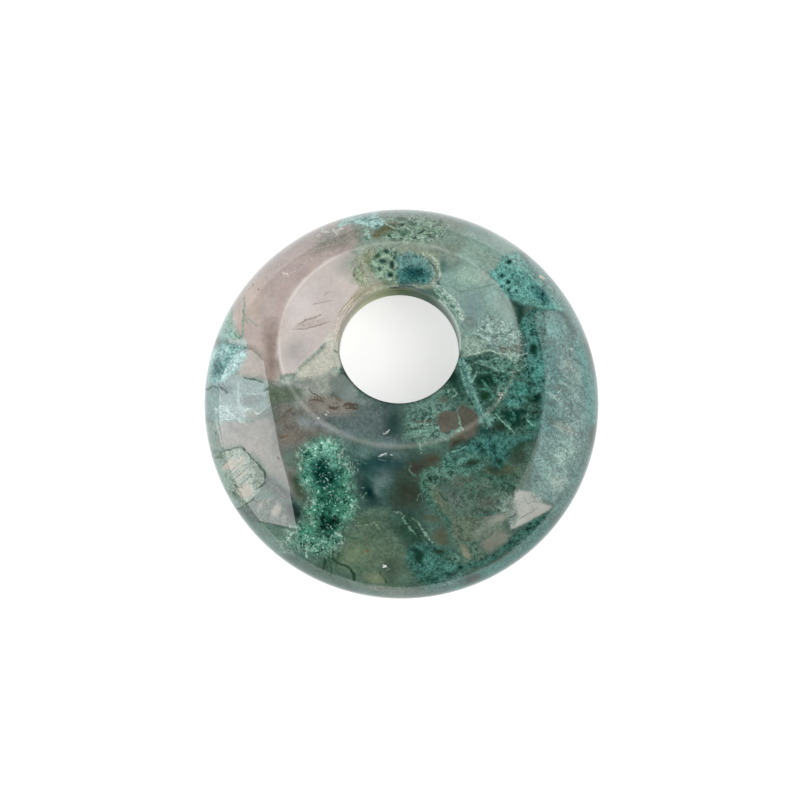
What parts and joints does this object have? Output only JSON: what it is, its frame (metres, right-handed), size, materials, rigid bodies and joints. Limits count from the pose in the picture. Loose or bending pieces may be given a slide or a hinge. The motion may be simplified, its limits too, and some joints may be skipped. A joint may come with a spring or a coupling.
{
  "type": "moss agate donut pendant",
  "caption": "Polished moss agate disc with a bore drilled off centre, a flat land round the bore on both faces, domed flanks and a rounded girdle.",
  "frame": {"origin": "under the middle of the stone's outline, in the plane of the back land that it lies on", "axes": "+Z out of the front land, along the bore; +Y from the middle of the outline towards the bore; +X to the right seen from the front"},
  "size_m": [0.018, 0.0178, 0.006],
  "materials": {
    "moss_agate": "polished"
  },
  "bodies": {
    "root": {"agate_donut": "moss_agate"}
  },
  "joints": []
}
